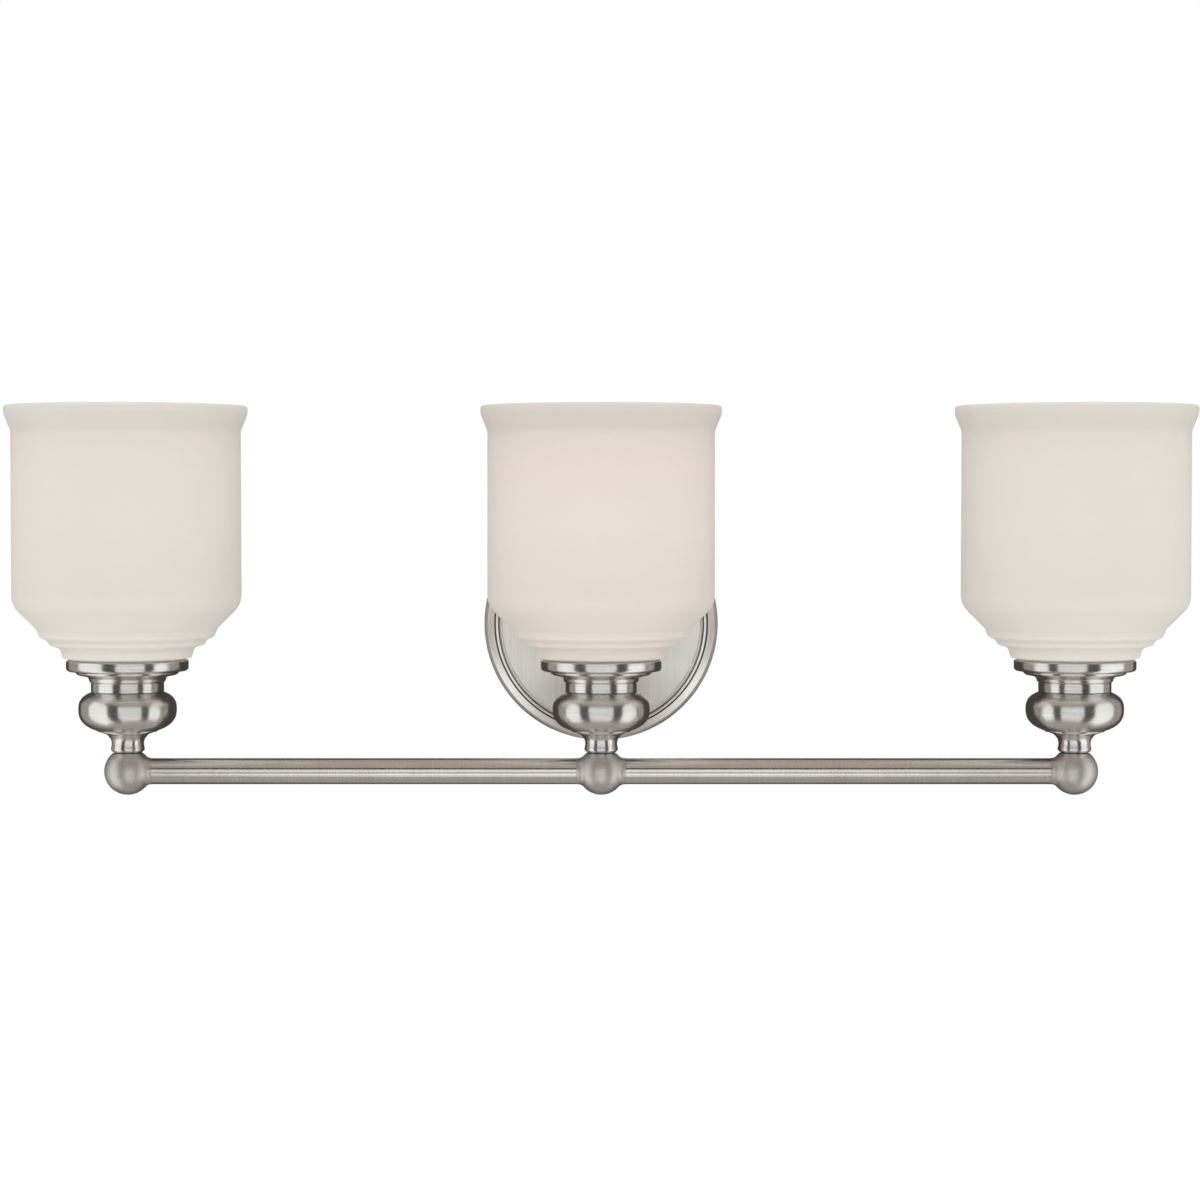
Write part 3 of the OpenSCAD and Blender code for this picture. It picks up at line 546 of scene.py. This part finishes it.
lower_rings, upper_rings = 30, 24
levels = [vase_base + (vase_mid - vase_base) * math.sin(math.radians(90 * i / lower_rings))
          for i in range(lower_rings + 1)]
levels += [vase_mid + (vase_top - vase_mid) * i / upper_rings for i in range(1, upper_rings + 1)]
vase_outline = [(nipple_hole_r, vase_base)] + [(vase_at(h), h) for h in levels]
vase_outline += [(vase_at(h) - vase_wall, h) for h in reversed(levels) if h > vase_base + vase_wall]
vase_outline += [(nipple_hole_r, vase_base + vase_wall)]
vase_mesh = turned("vase", [Vector(p) for p in vase_outline])

collar_base = vase_top
cup_base = height("lamp_collar_centre", 1)
bead_r = outer_radius("lamp_collar_centre")
bead_reach = 7.7
band_r = bead_r - bead_reach
collar_wall = 1.6
ring_mesh = turned("collar", rounded([
    (band_r - collar_wall, collar_base), (band_r, collar_base, 0.3), (band_r, collar_base + 4.8, 0.3),
    (band_r + 0.7, collar_base + 5.3, 0.4), (band_r + 1.4, cup_base - 3, 3),
    (bead_r - 1.4, cup_base - 2, 0.4), (bead_r, cup_base - 1.1, 0.6), (bead_r - 0.4, cup_base, 0.3),
    (band_r - collar_wall, cup_base)]))

cup_r = outer_radius("shade_cup_centre")
cup_rim = height("shade_cup_centre", 1)
cup_wall = 1.4
cup_floor = cup_base + cup_wall
cup_mesh = turned("cup", rounded([
    (nipple_hole_r, cup_base), (cup_r, cup_base, 1.8), (cup_r, cup_rim, 0.5),
    (cup_r - cup_wall, cup_rim, 0.4), (cup_r - cup_wall, cup_floor, 0.4), (nipple_hole_r, cup_floor)]))

# The groove under the foot's flare, where the foot stands on the ball, is painted dark as shade
groove_h = 0.57
groove_r = 6
for face in foot_mesh.polygons:
    if face.center.z < (foot_base + groove_h) * MM and face.center.xy.length > groove_r * MM:
        face.material_index = 1

shells = (("holder_foot_", foot_mesh, "lamp_foot_"), ("holder_vase_", vase_mesh, "lamp_vase_"),
          ("holder_collar_", ring_mesh, "lamp_collar_"), ("holder_cup_", cup_mesh, "shade_cup_"))
for side in SIDES:
    for name, mesh, node in shells:
        shell = put(name + side, mesh, axes[side], spun_nickel, crease_shade_nickel)
        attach(shell, "fixture")
        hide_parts(node + side)

# ---------------------------------------------------------------- glass shades
# Mould-blown opal glass, about 3 mm thick, with rounded ribs above the cup and a flared lip that was
# fire-polished. Its outside was etched in acid, which leaves an even, matt, milky white.

glass_base = height("glass_shade_centre", 0)
lip_h = height("glass_shade_centre", 1) - glass_base
lip_r = outer_radius("glass_shade_centre")
glass_wall = 3.0
fitter_r = 20.6
cup_play = 0.4
glass_foot_r = cup_r - cup_wall - cup_play
lip_flare = 3.4
lip_round = 1.2
wall_r = lip_r - lip_flare
glass_path = [(fitter_r, 0), (glass_foot_r, 0, 0.8), (glass_foot_r, 4.5, 0.4),
              (glass_foot_r + 3.6, 5.6, 1.2), (glass_foot_r + 4.5, 9.4, 1.2),
              (glass_foot_r + 5.8, 10.8, 0.8), (glass_foot_r + 10, 12, 2),
              (glass_foot_r + 11.3, 14.4, 1.2), (glass_foot_r + 15.1, 16.2, 2.4),
              (glass_foot_r + 16.6, 20.2, 2.5), (wall_r, 3.6 + wall_r - glass_foot_r, 12),
              (wall_r - 0.1, lip_h - 13, 6), (lip_r, lip_h - 4.2, 4), (lip_r, lip_h)]


def new_opal(name, tones):
    """Opal glass with an etched, matt skin, whose grain is drawn 0.5 mm wide so that it shows. tones run
    from its foot up to its lip."""
    finish, tree, shader = new_finish(name, IOR=1.5, Subsurface_Weight=0.75, Subsurface_Scale=0.006,
                                      Subsurface_Radius=(1.0, 0.85, 0.7))
    place = add(tree, "TexCoord", {})
    apart = add(tree, "SeparateXYZ", {}, {0: place.outputs["Generated"]})
    swirl = add(tree, "TexNoise", {"Scale": 1 / (30 * MM), "Detail": 2.0},
                {"Vector": place.outputs["Object"]})
    drift = add(tree, "MapRange", {"From Min": 0.3, "From Max": 0.7, "To Min": -0.008, "To Max": 0.008},
                {"Value": swirl.outputs["Fac"]})
    up = add(tree, "Math", {"operation": "ADD"}, {0: apart.outputs["Z"], 1: drift.outputs[0]})
    spots = (0.0, 0.12, 0.30, 0.55, 0.75, 0.88, 0.92)
    tone = add(tree, "ValToRGB", {"stops": [(spot, linear(shade)) for spot, shade in zip(spots, tones)]},
               {0: up.outputs[0]})
    etch = add(tree, "TexNoise", {"Scale": 1 / (0.5 * MM), "Detail": 3.0},
               {"Vector": place.outputs["Object"]})
    rough = add(tree, "MapRange", {"From Min": 0.3, "From Max": 0.7, "To Min": 0.5, "To Max": 0.6},
                {"Value": etch.outputs["Fac"]})
    relief = add(tree, "Bump", {"Strength": 0.4, "Distance": 0.02 * MM},
                 {"Height": etch.outputs["Fac"]})
    feed(shader, Base_Color=tone.outputs[0], Roughness=rough.outputs[0], Normal=relief.outputs[0])
    return finish


# The tones change with height, lighter in the lower half and greyer at the lip: painted light and shade
# for how the light falls on the glass from foot to lip. The middle shade is painted a little warmer than
# the other two, for the warmer light on it.
warm_opal = new_opal("opal glass, warm", ("#E2D7CE", "#EAE0D7", "#E7DDD3", "#ECE2DA", "#E7DDD4",
                                          "#DFD8D0", "#D6D0CB"))
cool_opal = new_opal("opal glass, neutral", ("#EBE2D8", "#EAE3DA", "#E5DFD6", "#E8E2D9", "#E5DFD6",
                                             "#E0DAD3", "#D9D5CF"))
opals = {"left": cool_opal, "centre": warm_opal, "right": cool_opal}
for side in SIDES:
    shade_mesh = turned("shade_" + side, sheet_outline(glass_path, glass_wall, lip_round))
    shade = put("shade_" + side, shade_mesh, axes[side] + Vector((0, 0, glass_base * MM)), opals[side])
    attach(shade, "fixture")
    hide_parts("glass_shade_" + side)

# ---------------------------------------------------------------- sockets
# A glazed porcelain socket screws down on each nipple. A phenolic ring on its outside thread clamps
# the glass, and a rolled brass screw shell with a spring contact takes the lamp.

# White phenolic on the ring, duller than the porcelain. Its moulded grain is drawn 0.5 mm wide.
phenolic = new_plastic("moulded phenolic, white", "#E4E2DB", "#D9D7CF", 0.48, 0.5)

# Porcelain under a clear glaze that pools a little, so that it shines wetly over a soft white
porcelain, tree, shader = new_finish("glazed porcelain", IOR=1.5, Coat_Weight=0.6, Coat_Roughness=0.06)
place = add(tree, "TexCoord", {})
pool = add(tree, "TexNoise", {"Scale": 1 / (7 * MM), "Detail": 2.0}, {"Vector": place.outputs["Object"]})
speck = add(tree, "TexNoise", {"Scale": 1 / (0.8 * MM), "Detail": 2.0},
            {"Vector": place.outputs["Object"]})
tone = add(tree, "ValToRGB", {"stops": [(0.3, linear("#EDEAE2")), (0.7, linear("#E3DFD5"))]},
           {0: pool.outputs["Fac"]})
rough = add(tree, "MapRange", {"From Min": 0.3, "From Max": 0.7, "To Min": 0.18, "To Max": 0.3},
            {"Value": speck.outputs["Fac"]})
relief = add(tree, "Bump", {"Strength": 0.3, "Distance": 0.08 * MM}, {"Height": pool.outputs["Fac"]})
feed(shader, Base_Color=tone.outputs[0], Roughness=rough.outputs[0], Normal=relief.outputs[0])

# Rolled brass, a warm yellow that a thin film dulls in patches
brass = mottled("rolled brass", ("#E2C47A", "#C09A50"), 4 * MM, (0.2, 0.36), Metallic=1.0)
for side in SIDES:
    coat(phenolic, "shade_ring_" + side)
    coat(porcelain, "socket_body_" + side)
    coat(brass, "screw_shell_" + side, "centre_contact_" + side)

# ---------------------------------------------------------------- lamps
# Ordinary A19 lamps: a pear-shaped glass frosted inside, cemented in an aluminium cap with a rolled
# thread of seven turns to the inch, over a black glass insulator with the centre contact.

# Thin glass with a frosted inside: milky in its depth, under a smooth skin that keeps sharp lights
frosted = mottled("lamp glass, frosted inside", ("#F1EEE8", "#E6E3DC"), 5 * MM, (0.3, 0.4), IOR=1.5,
                  Subsurface_Weight=0.4, Subsurface_Scale=0.002, Subsurface_Radius=(1.0, 1.0, 1.0),
                  Coat_Weight=0.5, Coat_Roughness=0.08)

# Rolled aluminium, a pale bright metal with light scuffs from the socket
rolled = mottled("rolled aluminium", ("#DADCDD", "#C2C4C6"), 2 * MM, (0.2, 0.34), Metallic=1.0)

# Black glass, glossy and faintly smeared, with a grey drop of solder below it for the contact
insulator, tree, shader = new_finish("black lamp-base glass", IOR=1.5)
place = add(tree, "TexCoord", {})
apart = add(tree, "SeparateXYZ", {}, {0: place.outputs["Generated"]})
smear = add(tree, "TexNoise", {"Scale": 1 / (3 * MM), "Detail": 3.0},
            {"Vector": place.outputs["Object"]})
tone = add(tree, "Mix", {"data_type": "RGBA", 6: linear("#1B1B1E"), 7: linear("#2B2B2E")},
           {0: smear.outputs["Fac"]})
solder = add(tree, "Math", {"operation": "LESS_THAN", 1: 0.145}, {0: apart.outputs["Z"]})
both_tones = add(tree, "Mix", {"data_type": "RGBA", 7: linear("#B9BCBE")},
                 {0: solder.outputs[0], 6: tone.outputs[2]})
rough = add(tree, "MapRange", {"From Min": 0.3, "From Max": 0.7, "To Min": 0.15, "To Max": 0.3},
            {"Value": smear.outputs["Fac"]})
feed(shader, Base_Color=both_tones.outputs[2], Roughness=rough.outputs[0], Metallic=solder.outputs[0])

bulb_r = outer_radius("bulb_glass_centre")
bulb_centre = height("bulb_glass_centre", 1) - bulb_r
bulb_foot = height("bulb_glass_centre", 0)
bulb_glass_t = 0.8
neck_r = 12.5
neck_round = 22
# The envelope's round crown ends this far below its middle, where the straight side starts
lean = math.radians(35)
join = Vector((bulb_r * math.cos(lean), bulb_centre - bulb_r * math.sin(lean)))
neck_h = join.y - (join.x - neck_r) / math.tan(lean)
inner_join = join + bulb_glass_t * Vector((-math.cos(lean), math.sin(lean)))
crown_steps = 36
crown_angles = [-lean + (math.pi / 2 + lean) * i / crown_steps for i in range(crown_steps + 1)]
crown = [Vector((math.cos(a), math.sin(a))) for a in crown_angles]
middle = Vector((0, bulb_centre))
bulb_outline = [Vector((neck_r, bulb_foot))]
bulb_outline += corner_arc((neck_r, bulb_foot), (neck_r, neck_h, neck_round), join)
bulb_outline += [middle + bulb_r * c for c in crown]
bulb_outline += [middle + (bulb_r - bulb_glass_t) * c for c in reversed(crown)]
neck_bore_r = neck_r - bulb_glass_t
neck_corner = (neck_bore_r, neck_h + bulb_glass_t / 2, neck_round)
bulb_outline += corner_arc(inner_join, neck_corner, (neck_bore_r, bulb_foot))
bulb_outline += [Vector((neck_bore_r, bulb_foot))]
bulb_mesh = turned("bulb", bulb_outline)

cap_base = height("bulb_cap_centre", 0)
cap_top = height("bulb_cap_centre", 1)
cap_r = outer_radius("bulb_cap_centre")
cap_hole_r = 9.9
cap_wall = 0.5
# The thread's real pitch, how deep it is rolled, and where it starts and ends
cap_pitch = 25.4 / 7
cap_thread_depth = 0.8
thread_start = cap_base + 2.4
thread_end = cap_top - 6
cap_mesh = threaded("cap", cap_r, cap_thread_depth, cap_pitch, thread_start, thread_end,
                    [(cap_hole_r, cap_base), (10.6, cap_base)],
                    [(cap_r - 0.3, thread_end + 0.5), (cap_r - 0.3, cap_top - 0.6),
                     (cap_r, cap_top - 0.3), (cap_r, cap_top), (cap_r - cap_wall, cap_top),
                     (cap_r - cap_wall - 0.5, thread_end), (cap_r - 1.4, thread_end - 1),
                     (cap_r - 1.4, thread_start + 1), (cap_hole_r, cap_base + 0.5)], steps=72)

for side in SIDES:
    lamp = "lamp_" + side
    glass = put("lamp_glass_" + side, bulb_mesh, axes[side], frosted)
    cap = put("lamp_cap_" + side, cap_mesh, axes[side], rolled)
    coat(insulator, "bulb_base_" + side)
    dressed = ((glass, "bulb_glass_", "frosted_glass"), (cap, "bulb_cap_", "lamp_aluminium"))
    for part, node, finish in dressed:
        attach(part, lamp)
        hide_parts(node + side)

# ---------------------------------------------------------------- studio
# A white room without a wall, a pale floor well below the light, and one soft lamp. Cards hung round
# the light are seen only in its metal, which they give its dark and bright lines.

scene = bpy.context.scene
scene.view_settings.view_transform = "Standard"
world = bpy.data.worlds.new("white room")
scene.world = world
world.use_nodes = True
world.node_tree.nodes.clear()


def seen_directly(tree):
    """An output that is 1 where a surface is seen, straight, in metal or through glass, and 0 where it
    only lights another"""
    ray = add(tree, "LightPath", {})
    seen = add(tree, "Math", {"operation": "MAXIMUM"},
               {0: ray.outputs["Is Camera Ray"], 1: ray.outputs["Is Glossy Ray"]})
    seen = add(tree, "Math", {"operation": "MAXIMUM"},
               {0: seen.outputs[0], 1: ray.outputs["Is Transmission Ray"]})
    return seen.outputs[0]


# The room is pure white where it is seen, and lights the object a little less than that
white = linear("#FFFFFF")
room_light = 0.94
tree = world.node_tree
soft = add(tree, "Background", {"Color": white, "Strength": room_light})
backdrop = add(tree, "Background", {"Color": white, "Strength": 1.0})
either = add(tree, "MixShader", {}, {0: seen_directly(tree), 1: soft.outputs[0], 2: backdrop.outputs[0]})
add(tree, "OutputWorld", {}, {"Surface": either.outputs[0]})

# Matt paint, nearly white, with faint patches a third of a metre wide. It glows a little where it is
# seen, so that the floor meets the white room.
floor_z = -1.0
floor_half = 8.0
floor_glow = 0.25
floor_mesh = bpy.data.meshes.new("floor")
corners = ((-1, -1), (1, -1), (1, 1), (-1, 1))
floor_mesh.from_pydata([(floor_half * x, floor_half * y, 0) for x, y in corners], [], [(0, 1, 2, 3)])
pale, tree, shader = new_finish("pale floor paint", Roughness=0.9, Emission_Color=white)
place = add(tree, "TexCoord", {})
dapple = add(tree, "TexNoise", {"Scale": 3.0}, {"Vector": place.outputs["Object"]})
tone = add(tree, "Mix", {"data_type": "RGBA", 6: linear("#F6F6F6"), 7: linear("#F4F4F4")},
           {0: dapple.outputs["Fac"]})
glow = add(tree, "Math", {"operation": "MULTIPLY", 1: floor_glow}, {0: seen_directly(tree)})
feed(shader, Base_Color=tone.outputs[2], Emission_Strength=glow.outputs[0])
floor_mesh.materials.append(pale)
floor = bpy.data.objects.new("floor", floor_mesh)
scene.collection.objects.link(floor)
floor.location = (0, 0, floor_z)

# A soft square lamp in front and above, aimed at the object's middle. It is left out of the metal,
# which shows the cards instead.
softbox_data = bpy.data.lights.new("front softbox", "AREA")
softbox_data.shape = "SQUARE"
softbox_data.size = 1.6
softbox_data.energy = 5
softbox = bpy.data.objects.new("front softbox", softbox_data)
scene.collection.objects.link(softbox)
softbox_spot = Vector((0, -2.2, 0.5))
softbox_aim = Vector((0, -0.08, 0))
softbox.location = softbox_spot
softbox.rotation_euler = (softbox_aim - softbox_spot).to_track_quat("-Z", "Y").to_euler()
softbox.visible_camera = softbox.visible_glossy = False

# Each card is a curved sheet round the light, from one bearing to another and one height to another,
# in degrees. Bearing 0 is straight in front, and each card has a twin on the other side.
card_r = 0.9
card_y, card_z = -0.1, -0.05
card_columns, card_rows = 16, 8
cards = (((28.5, 51.5), (-50, 30), "#4E4A47"),  # a tall dark flag beside the camera
         ((92, 120), (-48, 50), "#A39D98"),  # a grey strip just behind the sides
         ((120, 180), (-58, 50), "#4A4642"),  # the dark back of the room
         ((0, 92), (30, 50), "#B2A79F"),  # the ceiling in front
         ((0, 180), (50, 90), "#B2A79F"),  # the ceiling overhead
         ((0, 60), (17.5, 30), "#2C2826"),  # a black bar under the ceiling's edge
         ((0, 27), (-15, -8.5), "#2C2826"),  # a black bar under the camera
         ((0, 60), (-48, -32), "#ECE9E4"),  # a white strip low in front
         ((0, 120), (-58, -48), "#A7A29D"),  # the floor's edge
         ((0, 180), (-90, -58), "#A7A29D"))  # the floor below
row = card_columns + 1
card_faces = [(j * row + i, j * row + i + 1, (j + 1) * row + i + 1, (j + 1) * row + i)
              for j in range(card_rows) for i in range(card_columns)]


def sweep(first, last, steps):
    """Even steps from one angle to another, given in degrees, as radians"""
    return [math.radians(first + (last - first) * i / steps) for i in range(steps + 1)]


# The cloth glows by itself, so that each card keeps one tone from edge to edge
for number, (bearing, rise, shade) in enumerate(cards):
    felt = bpy.data.materials.new("card cloth")
    felt.use_nodes = True
    felt.node_tree.nodes.clear()
    glow = add(felt.node_tree, "Emission", {"Color": linear(shade), "Strength": 1.0})
    add(felt.node_tree, "OutputMaterial", {}, {"Surface": glow.outputs[0]})
    for twin in (-1, 1):
        bearings = sweep(twin * bearing[0], twin * bearing[1], card_columns)
        spots = [(card_r * math.sin(b) * math.cos(e), card_y - card_r * math.cos(b) * math.cos(e),
                  card_z + card_r * math.sin(e)) for e in sweep(*rise, card_rows) for b in bearings]
        mesh = bpy.data.meshes.new("card")
        mesh.from_pydata(spots, [], card_faces)
        mesh.materials.append(felt)
        side = "left" if twin < 0 else "right"
        card = bpy.data.objects.new(f"card_{number}_{side}", mesh)
        scene.collection.objects.link(card)
        card.visible_camera = card.visible_diffuse = card.visible_transmission = False
        card.visible_shadow = card.visible_volume_scatter = False

# A long lens straight in front, level with the shades and tilted down by less than two degrees
camera_tilt = 1.945
camera_data = bpy.data.cameras.new("camera")
camera_data.lens = 87.84
camera_data.sensor_width = 36
camera_data.clip_start, camera_data.clip_end = 0.05, 50
camera = bpy.data.objects.new("camera", camera_data)
scene.collection.objects.link(camera)
camera.location = (-0.0006, -1.603, 0.0669)
camera.rotation_euler = (math.radians(90 - camera_tilt), 0, 0)
scene.camera = camera
